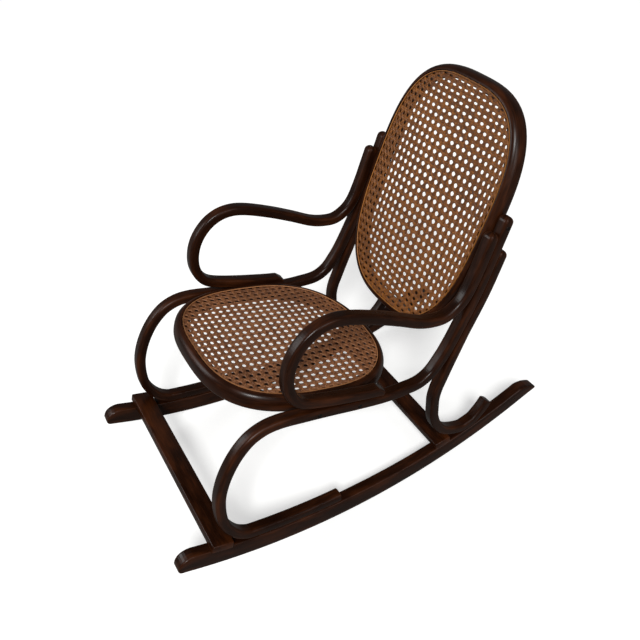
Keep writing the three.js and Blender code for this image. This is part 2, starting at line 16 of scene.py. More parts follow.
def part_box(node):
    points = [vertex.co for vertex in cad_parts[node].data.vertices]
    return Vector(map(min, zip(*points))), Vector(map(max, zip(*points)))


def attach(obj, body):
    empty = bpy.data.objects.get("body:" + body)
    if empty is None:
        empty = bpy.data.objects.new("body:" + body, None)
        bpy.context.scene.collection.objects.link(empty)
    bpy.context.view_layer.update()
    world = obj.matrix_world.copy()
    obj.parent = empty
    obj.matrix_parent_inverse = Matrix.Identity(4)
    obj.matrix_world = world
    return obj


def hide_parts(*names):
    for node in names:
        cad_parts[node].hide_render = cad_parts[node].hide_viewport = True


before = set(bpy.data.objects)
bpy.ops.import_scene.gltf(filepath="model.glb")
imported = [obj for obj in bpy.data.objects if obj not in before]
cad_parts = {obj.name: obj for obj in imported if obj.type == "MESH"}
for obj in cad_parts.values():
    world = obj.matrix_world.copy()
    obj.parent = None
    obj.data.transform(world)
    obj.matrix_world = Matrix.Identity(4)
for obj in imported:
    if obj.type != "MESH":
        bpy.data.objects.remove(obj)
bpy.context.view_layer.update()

print("nodes", len(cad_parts))

# %% [markdown]
# ## From the drawing to the floor
# The real chair stands on two curved rockers, so it tips until its weight is above the point that touches the
# floor. The sizes are easier to write in an upright drawing in millimetres, as a maker has them, and one matrix
# then takes a finished piece to its place in metres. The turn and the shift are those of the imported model.

# %% Rest of the chair
REST_TURN = -4.943
REST_SHIFT = (0, -52.077, 3.527)
MM = 0.001

to_rest = Matrix.Scale(MM, 4) @ Matrix.Translation(REST_SHIFT) @ Matrix.Rotation(math.radians(REST_TURN), 4, "X")
print("turned by", REST_TURN, "degrees")

# %% [markdown]
# Each side of the chair is a flat frame of bent rods, drawn from the lowest point of its rocker.
# The two frames aren't parallel: they lean inwards to the top and toe inwards to the rear, as in the photo.

# %% Planes of the side frames
FRAME_SPACING = 339.6
FRAME_TOE = 0.92
FRAME_LEAN = 0.75


def side_matrix(sign):
    lean = Matrix.Rotation(math.radians(-sign * FRAME_LEAN), 4, "Y")
    toe = Matrix.Rotation(math.radians(sign * FRAME_TOE), 4, "Z")
    return Matrix.Translation((sign * FRAME_SPACING / 2, 0, 0)) @ toe @ lean


def half_spacing(place):
    out = side_matrix(1).to_3x3() @ Vector((1, 0, 0))
    return FRAME_SPACING / 2 - (out.y * place.y + out.z * place.z) / out.x


print("middle planes at the floor", round(half_spacing(Vector((0, 0, 0))), 1), "mm from the middle")

# %% [markdown]
# ## Lines that the rods follow
# A bent rod is steamed and pulled round a form, so its line is smooth and has no corners. A Catmull-Rom curve
# runs through a few drawn points without overshooting, which suits such a line better than one long Bezier.

# %% Smooth line through drawn points
STEPS = 16


def smooth_line(points):
    ends = [2 * points[0] - points[1], *points, 2 * points[-1] - points[-2]]
    line = [points[0]]
    for a, b, c, d in zip(ends, ends[1:], ends[2:], ends[3:]):
        ab, bc, cd = ((q - p).length ** 0.5 for p, q in ((a, b), (b, c), (c, d)))
        leave = (b - a) / ab - (c - a) / (ab + bc) + (c - b) / bc
        arrive = (c - b) / bc - (d - b) / (bc + cd) + (d - c) / cd
        for i in range(1, STEPS + 1):
            t = i / STEPS
            line.append(
                b * (2 * t**3 - 3 * t**2 + 1) + leave * bc * (t**3 - 2 * t**2 + t)
                + c * (3 * t**2 - 2 * t**3) + arrive * bc * (t**3 - t**2)
            )
    return line


def bridge(before, points, after):
    line = smooth_line([*before[-2:], *points, *after[:2]])
    first = STEPS if len(before) > 1 else 0
    last = len(line) - STEPS if len(after) > 1 else len(line)
    return line[first:last]


# %% Lengths along a line
def lengths_of(line):
    lengths = [0.0]
    for a, b in zip(line, line[1:]):
        lengths.append(lengths[-1] + (b - a).length)
    return lengths


def point_at(line, lengths, length):
    i = max(1, next((k for k, l in enumerate(lengths) if l >= length), len(line) - 1))
    share = (length - lengths[i - 1]) / max(1e-9, lengths[i] - lengths[i - 1])
    return line[i - 1].lerp(line[i], share)


def part_of(line, first, last):
    lengths = lengths_of(line)
    low, high = sorted((first * lengths[-1], last * lengths[-1]))
    inside = [p for p, l in zip(line, lengths) if low < l < high]
    part = [point_at(line, lengths, low), *inside, point_at(line, lengths, high)]
    return part if first < last else part[::-1]


def directions_of(line):
    found = []
    for i, p in enumerate(line):
        ahead = (line[min(i + 1, len(line) - 1)] - p).normalized()
        behind = (p - line[max(i - 1, 0)]).normalized()
        found.append((ahead + behind).normalized())
    return found


def beside(line, distance_at):
    lengths = lengths_of(line)
    return [
        p + Vector((0, t.z, -t.y)) * distance_at(lengths[-1] - l)
        for p, t, l in zip(line, directions_of(line), lengths)
    ]


# %% [markdown]
# The rocker's lower edge is one long arc. What stands on a rocker is placed by a share of the arc's angle and
# a height over its top edge, so it follows the curve.

# %% Arc of the rocker
ROCKER_RADIUS = 938
ROCKER_DEPTH = 33.5
NOSE_ANGLE, TIP_ANGLE = -19.2, 25.16
DEPTH_SHARES = ((0, 0.95), (0.45, 1), (0.66, 0.91), (0.78, 0.86), (1, 0.8))
ROD_WIDTH, ROD_DEPTH = 20, 16.8
GAP = 0.3
RUN_STEP_ANGLE = 0.5
SIDE_LENGTH, SIDE_HEIGHT, HOOP_REACH = 520, 520, 240


def look_up(table, share):
    share = min(max(share, table[0][0]), table[-1][0])
    for (a, low), (b, high) in zip(table, table[1:]):
        if share <= b:
            return low + (high - low) * (share - a) / (b - a)


def arc_angle(share):
    return math.radians(NOSE_ANGLE + (TIP_ANGLE - NOSE_ANGLE) * share)


def on_arc(share, radius):
    turn = arc_angle(share)
    return Vector((0, radius * math.sin(turn), ROCKER_RADIUS - radius * math.cos(turn)))


def over_rocker(share, height):
    return on_arc(share, ROCKER_RADIUS - look_up(DEPTH_SHARES, share) * ROCKER_DEPTH - height)


def run_on_rocker(first, last):
    steps = math.ceil((last - first) * (TIP_ANGLE - NOSE_ANGLE) / RUN_STEP_ANGLE)
    shares = [first + (last - first) * i / steps for i in range(steps + 1)]
    return [over_rocker(share, GAP + ROD_DEPTH / 2) for share in shares]


def in_side_box(shares):
    return [Vector((0, y * SIDE_LENGTH - HOOP_REACH, z * SIDE_HEIGHT)) for y, z in shares]


print("rocker arc", round(math.radians(TIP_ANGLE - NOSE_ANGLE) * ROCKER_RADIUS), "mm long")

# %% [markdown]
# One long rod makes the back post, the seat rail and the front hoop, and ends on top of the rocker.
# A second rod makes the arm: it starts beside the post, loops forwards and comes back onto the seat rail.
# A third one makes the rear leg: it starts behind the post and curls forwards and round onto the rocker.

# %% Middle lines of the three rods
FRAME_ROD = (
    (0.966, 0.939), (0.931, 0.836), (0.888, 0.714), (0.849, 0.628), (0.802, 0.534), (0.777, 0.495),
    (0.745, 0.457), (0.704, 0.437), (0.639, 0.437), (0.577, 0.443), (0.483, 0.463), (0.391, 0.486),
    (0.301, 0.507), (0.228, 0.522), (0.182, 0.522), (0.139, 0.507), (0.105, 0.479), (0.076, 0.442),
    (0.048, 0.389), (0.031, 0.336), (0.026, 0.301), (0.025, 0.26),
)
ARM = (
    (0.845, 0.71), (0.816, 0.68), (0.776, 0.662), (0.733, 0.665), (0.687, 0.679), (0.607, 0.721),
    (0.525, 0.761), (0.443, 0.794), (0.401, 0.803), (0.361, 0.8), (0.323, 0.783), (0.292, 0.754),
    (0.27, 0.718), (0.258, 0.676), (0.257, 0.634), (0.271, 0.592), (0.301, 0.56),
)
LEG = ((0.81, 0.454), (0.794, 0.412), (0.78, 0.375), (0.773, 0.337))
HOOP_FOOT = ((0.09, 0.831), (0.1107, 0.511), (0.136, 0.268))
LEG_CURL = ((0.697, 0.983), (0.693, 0.771), (0.699, 0.545), (0.715, 0.34), (0.741, 0.19))
LEG_END = ((0.836, 0.169), (0.861, 0.281))
HOOP_FOOT_HEIGHT, CURL_HEIGHT = 60, 110
ARM_TAPER, ARM_END_DEPTH = 14, 9
HOOP_RUN, LEG_RUN = (0.164, 0.404), (0.773, 0.807)
ARM_POST, ARM_FOOT, LEG_POST = (0.027, 0.084), (0.403, 0.373), (0.054, 0.193)


def arm_depth(left):
    return ARM_END_DEPTH + (ROD_DEPTH - ARM_END_DEPTH) * min(1, left / ARM_TAPER)


hoop_foot = [over_rocker(share, lift * HOOP_FOOT_HEIGHT) for share, lift in HOOP_FOOT]
run = run_on_rocker(*HOOP_RUN)
frame_line = bridge([], in_side_box(FRAME_ROD) + hoop_foot, run) + run[1:]

post = beside(part_of(frame_line, *ARM_POST), lambda left: ROD_DEPTH + GAP)
foot = beside(part_of(frame_line, *ARM_FOOT), lambda left: -(arm_depth(left) + ROD_DEPTH) / 2 - GAP)
arm_line = post + bridge(post, in_side_box(ARM), foot)[1:-1] + foot

post = beside(part_of(frame_line, *LEG_POST), lambda left: -ROD_DEPTH - GAP)
curl = [over_rocker(share, lift * CURL_HEIGHT) for share, lift in LEG_CURL]
run = run_on_rocker(*LEG_RUN)
end = bridge(run, [over_rocker(share, lift * CURL_HEIGHT) for share, lift in LEG_END], [])
leg_line = post + bridge(post, in_side_box(LEG) + curl, run)[1:-1] + run + end[1:]
for name, line in (("frame rod", frame_line), ("arm rod", arm_line), ("rear leg", leg_line)):
    print(name, round(lengths_of(line)[-1]), "mm")

# %% [markdown]
# ## Sweeping a section along a line
# The rods are rectangular with well rounded edges. The section starts as one square face whose corners are
# bevelled, and it is extruded from station to station along the line. An extruded face keeps the point count of
# the section, so the grain of the wood can be stored on it: an attribute holds each point's place in the section
# and its length along the rod, as if the rod had been straightened again.

# %% Section and sweep
def rounded_face(bm, width, depth, radius, segments=4):
    made = bmesh.ops.create_grid(bm, x_segments=1, y_segments=1, size=0.5)
    bmesh.ops.scale(bm, vec=(width, depth, 1), verts=made["verts"])
    bmesh.ops.bevel(
        bm, geom=made["verts"], offset=radius, offset_type="OFFSET", affect="VERTICES",
        segments=segments, profile=0.5, material=-1,
    )
    flats = [e for e in bm.edges if e.calc_length() > min(width, depth) / 4]
    bmesh.ops.subdivide_edges(bm, edges=flats, cuts=2)
    return max(bm.faces, key=lambda f: len(f.verts))


def store_grain(layer, face, station, length):
    back = station.inverted()
    for v in face.verts:
        p = back @ v.co
        v[layer] = (p.x * MM, p.y * MM, length * MM)


def sweep(bm, face, stations, lengths, closed=False):
    grain = bm.verts.layers.float_vector.new("grain")
    section_points = len(face.verts)
    bmesh.ops.transform(bm, matrix=stations[0], verts=face.verts)
    store_grain(grain, face, stations[0], lengths[0])
    for before, station, length in zip(stations, stations[1:], lengths[1:]):
        made = bmesh.ops.extrude_face_region(bm, geom=[face])["geom"]
        face = next(g for g in made if isinstance(g, bmesh.types.BMFace))
        bmesh.ops.transform(bm, matrix=station @ before.inverted(), verts=face.verts)
        store_grain(grain, face, station, length)
    if closed:
        ends = [f for f in bm.faces if len(f.verts) == section_points]
        bmesh.ops.delete(bm, geom=ends, context="FACES_ONLY")
        bmesh.ops.remove_doubles(bm, verts=bm.verts, dist=0.01)
    bmesh.ops.recalc_face_normals(bm, faces=bm.faces)


def station_at(place, direction, wide=1.0, deep=1.0):
    across = Vector((1, 0, 0))
    up = direction.cross(across).normalized()
    turn = Matrix((across * wide, up * deep, direction)).transposed().to_4x4()
    return Matrix.Translation(place) @ turn


# %% [markdown]
# ## Finished pieces
# Every piece rides on the chair's one body and stands for its CAD node. Its place is put into the mesh,
# so the object stays at the origin. Faces are smooth, and only edges sharper than a bevel are kept hard.

# %% Hand a piece over
made_pieces = []


def finished(name, bm, place, material, node, sharp=40):
    bmesh.ops.transform(bm, matrix=to_rest @ place, verts=bm.verts)
    mesh = bpy.data.meshes.new(name)
    bm.to_mesh(mesh)
    bm.free()
    mesh.polygons.foreach_set("use_smooth", [True] * len(mesh.polygons))
    mesh.set_sharp_from_angle(angle=math.radians(sharp))
    piece = bpy.data.objects.new(name, mesh)
    bpy.context.scene.collection.objects.link(piece)
    mesh.materials.append(material)
    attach(piece, "root")
    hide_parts(node)
    made_pieces.append(piece)
    return piece


# %% [markdown]
# ## Materials
# Colours are written as the hex values that a picture shows, and one function turns them into the linear
# numbers that the shader needs. One more function adds a node with its settings and its links.

# %% Colour and node helpers
def hex_colour(text):
    parts = [int(text[i:i + 2], 16) / 255 for i in (1, 3, 5)]
    linear = [c / 12.92 if c <= 0.04045 else ((c + 0.055) / 1.055) ** 2.4 for c in parts]
    return (*linear, 1)


def add_node(tree, kind, settings=None, **inputs):
    node = tree.nodes.new("ShaderNode" + kind)
    for key, value in (settings or {}).items():
        setattr(node, key, value)
    for key, value in inputs.items():
        found = [s for s in node.inputs if s.name.replace(" ", "_") == key]
        socket = found[0] if found else node.inputs[int(key.strip("_"))]
        if isinstance(value, bpy.types.NodeSocket):
            tree.links.new(value, socket)
        else:
            socket.default_value = value
    return node


def new_material(name):
    material = bpy.data.materials.new(name)
    material.use_nodes = True
    tree = material.node_tree
    tree.nodes.clear()
    return material, tree


def ramp_of(tree, value, stops):
    ramp = add_node(tree, "ValToRGB", Fac=value)
    points = ramp.color_ramp.elements
    while len(points) < len(stops):
        points.new(0.5)
    for point, (place, colour) in zip(points, stops):
        point.position = place
        point.color = hex_colour(colour)
    return ramp.outputs["Color"]


# %% [markdown]
# ### Steam-bent beech, stained dark and shellac polished
# Beech is pale and close-grained. Here it is stained to a dark red-brown and polished with shellac, so the
# pores show only as short dark streaks along the rod, the edges are rubbed a little lighter, and the finish has
# a soft, slightly uneven gloss. The noise reads the straightened place that the sweep stored, so the streaks
# follow every bend: they are about 0.7 mm wide and 33 mm long, coarser than real pores so that they show.

# %% Stained beech
STREAK_SHARE, CLOUD_SHARE = 0.45, 0.6


def stained_beech(name, dark, middle, light):
    material, tree = new_material(name)
    grain = add_node(tree, "Attribute", {"attribute_name": "grain"}).outputs["Vector"]
    streak_place = add_node(tree, "Mapping", Vector=grain, Scale=(1, 1, 0.02))
    streaks = add_node(
        tree, "TexNoise", Vector=streak_place.outputs["Vector"], Scale=1500, Detail=5, Roughness=0.6,
    )
    cloud_place = add_node(tree, "Mapping", Vector=grain, Scale=(1, 1, 0.25))
    clouds = add_node(
        tree, "TexNoise", Vector=cloud_place.outputs["Vector"], Scale=60, Detail=4, Roughness=0.55,
    )
    rubbed = add_node(tree, "NewGeometry").outputs["Pointiness"]
    edges = add_node(
        tree, "MapRange", Value=rubbed, From_Min=0.5, From_Max=0.6, To_Min=0, To_Max=0.22,
    )
    add_share = {"operation": "MULTIPLY_ADD"}
    mixed = add_node(tree, "Math", add_share, _0=streaks.outputs["Fac"], _1=STREAK_SHARE, _2=0.0)
    tone = add_node(
        tree, "Math", add_share, _0=clouds.outputs["Fac"], _1=CLOUD_SHARE, _2=mixed.outputs[0],
    )
    worn = add_node(tree, "Math", {"operation": "ADD"}, _0=tone.outputs[0], _1=edges.outputs[0])
    colour = ramp_of(tree, worn.outputs[0], ((0.3, dark), (0.55, middle), (0.85, light)))
    gloss = add_node(
        tree, "MapRange", Value=clouds.outputs["Fac"],
        From_Min=0.3, From_Max=0.7, To_Min=0.22, To_Max=0.4,
    )
    bump = add_node(tree, "Bump", Strength=0.12, Distance=0.0003, Height=streaks.outputs["Fac"])
    shader = add_node(
        tree, "BsdfPrincipled", Base_Color=colour, Roughness=gloss.outputs[0], Normal=bump.outputs[0],
        IOR=1.5, Specular_IOR_Level=0.2,
    )
    add_node(tree, "OutputMaterial", Surface=shader.outputs[0])
    return material


beech = stained_beech("stained_beech_shellac_polish", "#070301", "#230e04", "#552a10")
print("material", beech.name)

# %% [markdown]
# ### Woven cane
# Cane is the split bark of rattan: hard, slightly glossy and honey-coloured, with fine fibres along it and
# strands that differ in tone. The tone of each strand is an attribute, and fine noise stretched along the
# strand draws the fibres.

# %% Cane
FIBRE_SHARE, SPOT_SHARE = 0.35, 0.35


def split_cane(name, dark, middle, light):
    material, tree = new_material(name)
    place = add_node(tree, "Attribute", {"attribute_name": "grain"}).outputs["Vector"]
    tone = add_node(tree, "Attribute", {"attribute_name": "tone"}).outputs["Fac"]
    fibre_place = add_node(tree, "Mapping", Vector=place, Scale=(1, 1, 0.06))
    fibres = add_node(
        tree, "TexNoise", Vector=fibre_place.outputs["Vector"], Scale=2600, Detail=3, Roughness=0.6,
    )
    spots = add_node(tree, "TexNoise", Vector=place, Scale=90, Detail=3, Roughness=0.6)
    add_share = {"operation": "MULTIPLY_ADD"}
    mixed = add_node(tree, "Math", add_share, _0=fibres.outputs["Fac"], _1=FIBRE_SHARE, _2=tone)
    worn = add_node(
        tree, "Math", add_share, _0=spots.outputs["Fac"], _1=SPOT_SHARE, _2=mixed.outputs[0],
    )
    colour = ramp_of(tree, worn.outputs[0], ((0.35, dark), (0.75, middle), (1.0, light)))
    bump = add_node(tree, "Bump", Strength=0.3, Distance=0.0002, Height=fibres.outputs["Fac"])
    shader = add_node(
        tree, "BsdfPrincipled", Base_Color=colour, Roughness=0.42, Normal=bump.outputs[0], IOR=1.5,
    )
    add_node(tree, "OutputMaterial", Surface=shader.outputs[0])
    return material


# The seat and the back are the same cane in two colour copies. The paler, pinker seat copy and the deeper amber
# back copy are painted light: they paint in how differently light falls on the upturned seat and the upright back,
# not fading.
seat_cane = split_cane("split_rattan_cane_faded", "#4a2614", "#a36c44", "#d09e6c")
back_cane = split_cane("split_rattan_cane_amber", "#43200a", "#9c5f24", "#cf9145")
print("materials", seat_cane.name, back_cane.name)

# %% [markdown]
# ## Bent rods
# The start of each rod is rounded over like a thumb and the far end is cut square with its edge eased.
# Extra stations near the ends scale the section down to draw that.

# %% Rods of one side
ROD_RADIUS = 4.6
STATION_STEP = 4
DOME_SHARES = (0.02, 0.08, 0.2, 0.4, 0.65, 1)
DOME_WIDTH = 0.25
END_ROOM = 2
END_PLACES = (1, 0.3, 0)
EASE, EASE_LENGTH = 0.1, 1.5


def rod_stations(line, depth_at):
    lengths = lengths_of(line)
    whole = lengths[-1]
    radius = ROD_DEPTH / 2
    dome = [radius * share for share in DOME_SHARES]
    count = math.ceil((whole - radius) / STATION_STEP)
    even = [radius + (whole - radius - END_ROOM) * i / count for i in range(1, count + 1)]
    places = [*dome, *even, *(whole - left for left in END_PLACES)]
    points = [point_at(line, lengths, p) for p in places]
    stations = []
    for p, t, l in zip(points, directions_of(points), places):
        run = max(0, radius - l)
        round_over = math.sqrt(radius**2 - run**2) / radius
        eased = 1 - EASE * max(0, 1 - (whole - l) / EASE_LENGTH) ** 2
        deep = min(round_over, depth_at(whole - l) / ROD_DEPTH) * eased
        wide = (DOME_WIDTH + (1 - DOME_WIDTH) * round_over) * eased
        stations.append(station_at(p, t, wide, deep))
    return stations, places


def rod(name, sign, line, node, depth_at=lambda left: ROD_DEPTH):
    bm = bmesh.new()
    face = rounded_face(bm, ROD_WIDTH, ROD_DEPTH, ROD_RADIUS)
    sweep(bm, face, *rod_stations(line, depth_at))
    return finished(name, bm, side_matrix(sign), beech, node)


for side, sign in (("right", 1), ("left", -1)):
    rod(f"{side}_post_rail_and_hoop", sign, frame_line, f"{side}_frame_rod")
    rod(f"{side}_arm_loop", sign, arm_line, f"{side}_arm_rod", arm_depth)
    rod(f"{side}_curled_rear_leg", sign, leg_line, f"{side}_rear_leg")
print("rods", len(made_pieces))

# %% [markdown]
# ## Rockers
# A rocker is sawn and steamed to its arc, deeper at the middle than at the tip. Its nose is rounded over at the
# top, and its rear end is bevelled to a thin tip. Stations along the arc set the height of each section.

# %% Rockers
ROCKER_WIDTH, ROCKER_ROUNDING, ROCKER_STEP = 21, 3.4, 8
BROW_RADIUS, NOSE_RADIUS, NOSE_START = 24, 8, 0.6
BROW_SHARES = (0, 0.03, 0.09, 0.18, 0.3, 0.45, 0.65, 0.85, 1)
TIP_LENGTH = 31
TIP_PLACES = (1, 0.87, 0.74, 0.61, 0.48, 0.35, 0.22, 0.1, 0.03, 0)
END_RUN, NOSE_NARROWING, TIP_NARROWING = 5, 0.12, 0.1
TIP_SHARES = ((0, 0.12), (0.22, 0.42), (0.48, 0.71), (0.74, 0.89), (1, 1))


def corner_loss(radius, distance):
    run = max(0, radius - distance)
    return radius - math.sqrt(radius**2 - run**2)


def rocker(name, sign, node):
    arc = math.radians(TIP_ANGLE - NOSE_ANGLE) * ROCKER_RADIUS
    near = [BROW_RADIUS * share for share in BROW_SHARES]
    tip = [arc - TIP_LENGTH * share for share in TIP_PLACES]
    steps = round((tip[0] - near[-1]) / ROCKER_STEP)
    even = [near[-1] + (tip[0] - near[-1]) * i / steps for i in range(1, steps)]
    places = near + even + tip
    stations = []
    for place in places:
        share = place / arc
        full = look_up(DEPTH_SHARES, share) * ROCKER_DEPTH
        lost = full * (1 - look_up(TIP_SHARES, (arc - place) / TIP_LENGTH))
        top = ROCKER_RADIUS - full + lost + corner_loss(BROW_RADIUS, place + NOSE_START)
        bottom = ROCKER_RADIUS - corner_loss(NOSE_RADIUS, place + NOSE_START)
        turn = arc_angle(share)
        direction = Vector((0, math.cos(turn), math.sin(turn)))
        wide = (
            1 - NOSE_NARROWING * max(0, 1 - place / END_RUN) ** 2
            - TIP_NARROWING * max(0, 1 - (arc - place) / END_RUN) ** 2
        )
        middle = on_arc(share, (top + bottom) / 2)
        stations.append(station_at(middle, direction, wide, (bottom - top) / ROCKER_DEPTH))
    bm = bmesh.new()
    face = rounded_face(bm, ROCKER_WIDTH, ROCKER_DEPTH, ROCKER_ROUNDING)
    sweep(bm, face, stations, places)
    return finished(name, bm, side_matrix(sign), beech, node)


for side, sign in (("right", 1), ("left", -1)):
    rocker(f"{side}_rocker_arc", sign, f"{side}_rocker")
print("rocker height", round(made_pieces[-1].dimensions.z * 1000), "mm")

# %% [markdown]
# ## Stretchers
# Two flat boards tie the rockers together. Each is a box from create_cube, stretched to its size and
# bevelled along every edge. It sits just over both rockers, which aren't parallel.

# %% Stretchers
THICKNESS = 13.5
BOARD_ROUNDING = 2
LONG_EDGE, BOARD_CUTS = 50, 30


def stretcher(name, overhang, width, share, node):
    arc = math.radians(TIP_ANGLE - NOSE_ANGLE) * (ROCKER_RADIUS - ROCKER_DEPTH)
    slope = math.sin(math.radians(FRAME_LEAN + FRAME_TOE))
    lift = GAP + slope * ROCKER_WIDTH / 2 + THICKNESS / 2
    front = side_matrix(1) @ over_rocker(share - width / 2 / arc, lift)
    rear = side_matrix(1) @ over_rocker(share + width / 2 / arc, lift)
    middle = front.lerp(rear, 0.5)
    ahead = rear - front
    half = half_spacing(middle) + ROCKER_WIDTH / 2 + overhang
    bm = bmesh.new()
    made = bmesh.ops.create_cube(bm, size=1)
    bmesh.ops.scale(bm, vec=(2 * half, width, THICKNESS), verts=made["verts"])
    bmesh.ops.bevel(
        bm, geom=bm.edges[:], offset=BOARD_ROUNDING, offset_type="OFFSET", affect="EDGES",
        segments=3, profile=0.5, material=-1,
    )
    long_edges = [e for e in bm.edges if abs(e.verts[0].co.x - e.verts[1].co.x) > LONG_EDGE]
    bmesh.ops.subdivide_edges(bm, edges=long_edges, cuts=BOARD_CUTS, use_grid_fill=True)
    grain = bm.verts.layers.float_vector.new("grain")
    for v in bm.verts:
        v[grain] = (v.co.y * MM, v.co.z * MM, v.co.x * MM)
    tilt = Matrix.Rotation(math.atan2(ahead.z, ahead.y), 4, "X")
    place = Matrix.Translation((0, middle.y, middle.z)) @ tilt
    return finished(name, bm, place, beech, node)


stretcher("front_board", overhang=4, width=35, share=0.0925, node="front_stretcher")
stretcher("rear_board", overhang=0.5, width=31, share=0.706, node="rear_stretcher")
print("boards", [round(p.dimensions.x * 1000) for p in made_pieces[-2:]], "mm long")

# %% [markdown]
# ## Seat and back rings
# Each ring is one rod of beech bent to an egg shape, rounded over on its outer edge and rebated inside for the
# cane. Its outline is a superellipse whose length and squareness differ between its two ends.

# %% Outline of a ring
def outline_point(half_width, lengths, powers, turn):
    end = 0 if math.sin(turn) > 0 else 1
    power, length = powers[end], lengths[end]
    x, y = math.cos(turn) / half_width, math.sin(turn) / length
    size = (abs(x) ** power + abs(y) ** power) ** (-1 / power)
    normal = Vector((
        math.copysign(abs(x) ** (power - 1), x) / half_width,
        math.copysign(abs(y) ** (power - 1), y) / length, 0,
    )).normalized()
    return Vector((math.cos(turn), math.sin(turn), 0)) * size, normal


# %% Places of the two rings
RIM_DROP = 4.0
SEAT = {"half": 0, "lengths": (152, 177), "powers": (2.35, 2.75), "rim": 11.0, "ledge": 11, "height": 28}
BACK = {"half": 0, "lengths": (194, 212), "powers": (2.95, 2.77), "rim": 10.4, "ledge": 9, "height": 28}
SEAT_TILT, SEAT_BACK, SEAT_RISE, SEAT_FIT = 13, 16, 20.9, 0.5
BACK_LEAN, BACK_DROP, BACK_INSET, BOLT_DROP = 20.9, 23.3, 14.9, 16


def rail_point(y):
    placed = [side_matrix(1) @ p for p in frame_line]
    rail = [p for p in placed if p.z > SIDE_HEIGHT / 3]
    i = next(k for k, p in enumerate(rail) if p.y < y)
    share = (y - rail[i - 1].y) / (rail[i].y - rail[i - 1].y)
    return rail[i - 1].lerp(rail[i], share)


seat_middle = rail_point(-SEAT_BACK) + Vector((0, 0, SEAT_RISE))
SEAT["half"] = half_spacing(seat_middle) - ROD_WIDTH / 2 - SEAT_FIT
to_seat = Matrix.Translation((0, seat_middle.y, seat_middle.z)) @ Matrix.Rotation(-math.radians(SEAT_TILT), 4, "X")

BACK["half"] = half_spacing(side_matrix(1) @ frame_line[0]) - ROD_WIDTH / 2 - GAP
back_bolt = side_matrix(1) @ point_at(frame_line, lengths_of(frame_line), BOLT_DROP)
lean = math.radians(BACK_LEAN)
up_back = Vector((0, math.sin(lean), math.cos(lean)))
out_of_back = Vector((0, -math.cos(lean), math.sin(lean)))
back_middle = Vector((0, back_bolt.y, back_bolt.z)) - up_back * BACK_DROP + out_of_back * BACK_INSET
to_back = Matrix.Translation(back_middle) @ Matrix((Vector((1, 0, 0)), up_back, out_of_back)).transposed().to_4x4()
print("half widths", round(SEAT["half"], 1), round(BACK["half"], 1))

# %% [markdown]
# The profile of a ring is one face of a few points: flat underneath, a rebate inside and an elliptical shoulder
# outside. Its lower corners are bevelled, and it is swept once round the outline. The sweep's seam is at the
# rear of the seat and at the bottom of the back, where the glued joint of such a ring would show least.

# %% Rings
SHOULDER_WIDTH, SHOULDER_DEPTH = 9.6, 16
SHOULDER_STEPS = 7
RING_STATIONS = 144
UNDER_CORNER, OUTER_CORNER, CORNER_REACH, CORNER_ROUNDING = 4, 5, 6, 1.6


def ring_stations(ring, start):
    stations, lengths, total, before = [], [], 0.0, None
    for i in range(RING_STATIONS + 1):
        turn = start + 2 * math.pi * i / RING_STATIONS
        p, normal = outline_point(ring["half"], ring["lengths"], ring["powers"], turn)
        total += (p - before).length if before else 0
        before = p
        up = Vector((0, 0, 1))
        turn_matrix = Matrix((normal, up, normal.cross(up))).transposed().to_4x4()
        stations.append(Matrix.Translation(p) @ turn_matrix)
        lengths.append(total)
    return stations, lengths


def wood_ring(name, ring, place, start, node):
    bm = bmesh.new()
    inner = -ring["rim"] - ring["ledge"]
    rim, height = ring["rim"], ring["height"]
    shoulder = [math.pi / 2 * i / SHOULDER_STEPS for i in range(SHOULDER_STEPS + 1)]
    points = [
        (-UNDER_CORNER, -height), (inner + UNDER_CORNER, -height), (inner, UNDER_CORNER - height),
        (inner, -RIM_DROP), (-rim, -RIM_DROP), (-rim, 0),
    ]
    points += [((math.sin(a) - 1) * SHOULDER_WIDTH, (math.cos(a) - 1) * SHOULDER_DEPTH) for a in shoulder]
    points += [(0, OUTER_CORNER - height)]
    face = bm.faces.new([bm.verts.new((x, y, 0)) for x, y in points])
    corners = [v for v in face.verts if v.co.y < -height + CORNER_REACH]
    bmesh.ops.bevel(
        bm, geom=corners, offset=CORNER_ROUNDING, offset_type="OFFSET", affect="VERTICES",
        segments=2, profile=0.5, material=-1,
    )
    face = bm.faces[:][0]
    sweep(bm, face, *ring_stations(ring, start), closed=True)
    return finished(name, bm, place, beech, node, sharp=50)


wood_ring("seat_hoop", SEAT, to_seat, math.pi / 2, "seat_ring")
wood_ring("back_hoop", BACK, to_back, -math.pi / 2, "back_ring")
print("rings", [tuple(round(d * 1000) for d in p.dimensions) for p in made_pieces[-2:]])

# %% [markdown]
# ## Woven cane
# The weave is the six-way pattern: pairs of uprights and pairs of crosswise strands make squares, and two sets
# of slanting strands cut the corners, which leaves eight-sided holes. The chair is caned by hand through holes
# drilled at even steps round the hoop. Where the hoop turns away, even steps on it are closer together across the
# panel, so the lines of the weave are 13 to 14 mm apart in the middle and draw together towards the rim. A sine
# gives that spacing from a middle, a reach, a pitch and a start. Past its top it would turn back into the panel,
# so the lines run straight on.

# %% Lines of the weave
CANE_THICK, CANE_CROWN = 0.5, 0.22
CANE_INSET, PAIR_GAP = 1.2, 0.2
WAVE, SLANT_WAVE = 0.38, 0.65


def lines_of(middle, reach, pitch, start):
    def line_at(number):
        turn = (number + start) * pitch / reach
        return middle + reach * (math.sin(turn) if abs(turn) < math.pi / 2 else turn)

    return line_at


def inside_outline(ring, inset):
    half = ring["half"] - inset

    def test(p):
        end = 0 if p.y > 0 else 1
        length, power = ring["lengths"][end] - inset, ring["powers"][end]
        return abs(p.x / half) ** power + abs(p.y / length) ** power < 1

    return test


# %% [markdown]
# Each strand is a narrow grid from create_grid, laid along its line. Its points are raised and lowered where it
# goes over and under its neighbours, its middle is a little higher than its edges, and Solidify gives it its
# thickness. The slanting strands go over one pair and under the other, each set the opposite way, so that they
# also clear each other.

